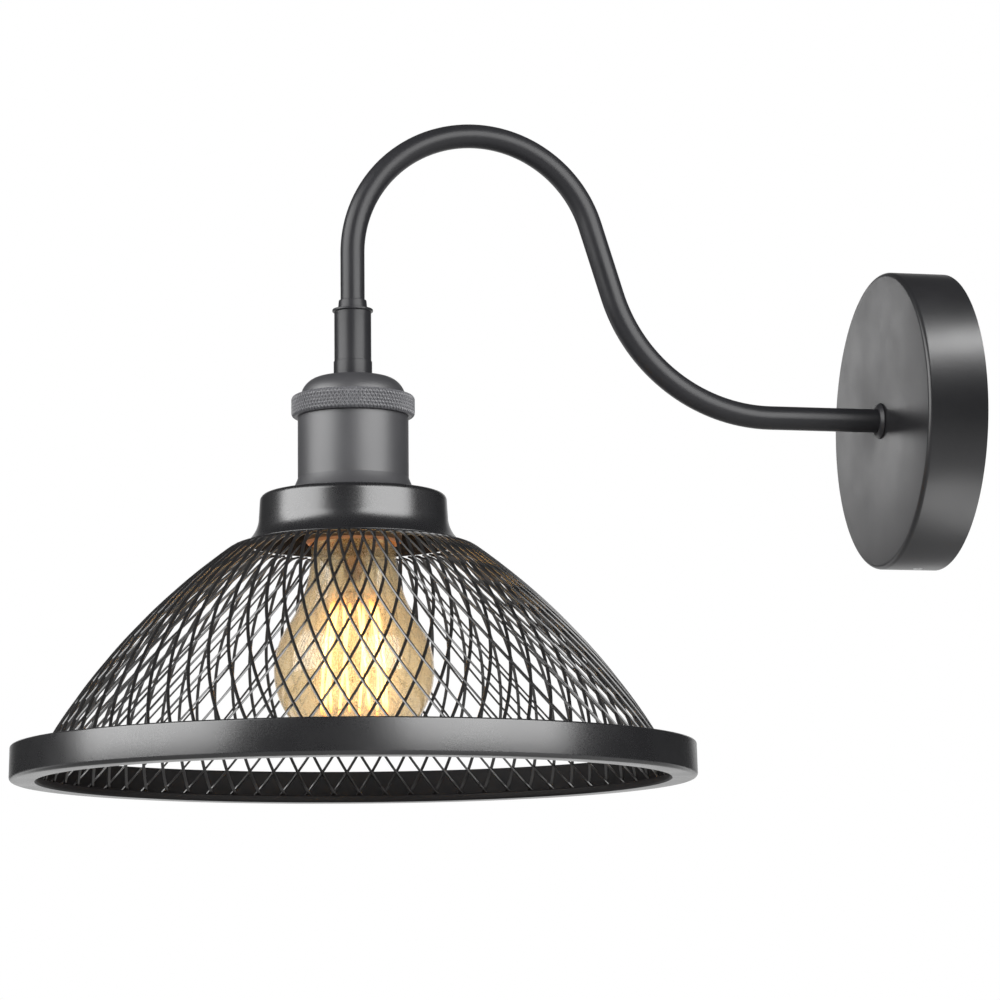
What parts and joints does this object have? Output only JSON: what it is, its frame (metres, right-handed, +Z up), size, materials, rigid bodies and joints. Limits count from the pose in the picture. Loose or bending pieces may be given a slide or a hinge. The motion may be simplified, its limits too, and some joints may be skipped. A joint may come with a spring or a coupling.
{
  "type": "wall light",
  "caption": "Gooseneck wall light: round canopy, bent tube arm, knurled lamp holder and a dome shade of crossed steel strands with a rolled rim, with its bulb.",
  "frame": {"origin": "centre of the back face, on the wall, midway between the two bracket slots", "axes": "+Z up, +Y into the wall, so the light stands out towards -Y; +X to the right for someone facing the wall"},
  "size_m": [0.2642, 0.3726, 0.2621],
  "materials": {
    "canopy_paint": "satin powder coat",
    "arm_paint": "satin powder coat",
    "holder_paint": "satin powder coat",
    "shade_paint": "satin powder coat",
    "zinc": "zinc plated",
    "steel": "plain",
    "brass": "turned",
    "ceramic": "unglazed",
    "connector_plastic": "matte",
    "lead_brown": "matte",
    "lead_blue": "matte",
    "amber_glass": "clear amber",
    "stem_glass": "clear",
    "black_glass": "glossy",
    "filament_wire": "glowing"
  },
  "bodies": {
    "light": {"wall_bracket": "zinc", "canopy_cup": "canopy_paint", "canopy_screws": "steel", "arm_washer": "arm_paint", "star_washer": "zinc", "arm_locknut": "zinc", "earth_washer": "brass", "earth_screw": "brass", "terminal_block": "connector_plastic", "terminal_screws": "zinc", "arm_tube": "arm_paint", "live_lead": "lead_brown", "neutral_lead": "lead_blue", "coupler_sleeve": "arm_paint", "threaded_nipple": "zinc", "cap_nut": "zinc", "socket_cap": "holder_paint", "knurled_ring": "holder_paint", "socket_shell": "holder_paint", "socket_core": "ceramic", "lamp_thread": "brass", "centre_contact": "brass", "core_screws": "brass", "shade_collar": "shade_paint", "rim_ring": "shade_paint", "outer_strands": "shade_paint", "inner_strands": "shade_paint"},
    "bulb": {"bulb_glass": "amber_glass", "bulb_cap": "brass", "bulb_insulator": "black_glass", "bulb_contact": "brass", "glass_stem": "stem_glass", "filament": "filament_wire", "filament_supports": "steel"},
    "clamp_ring": {"shade_ring": "holder_paint"}
  },
  "joints": [
    {"name": "bulb_out", "type": "slide", "parent": "light", "child": "bulb", "axis": [0, 0, -1], "range_m": [0, 0.13]},
    {"name": "clamp_ring_turn", "type": "hinge", "parent": "light", "child": "clamp_ring", "pos_m": [0, -0.2405, -0.04], "axis": [0, 0, 1], "continuous": true}
  ]
}
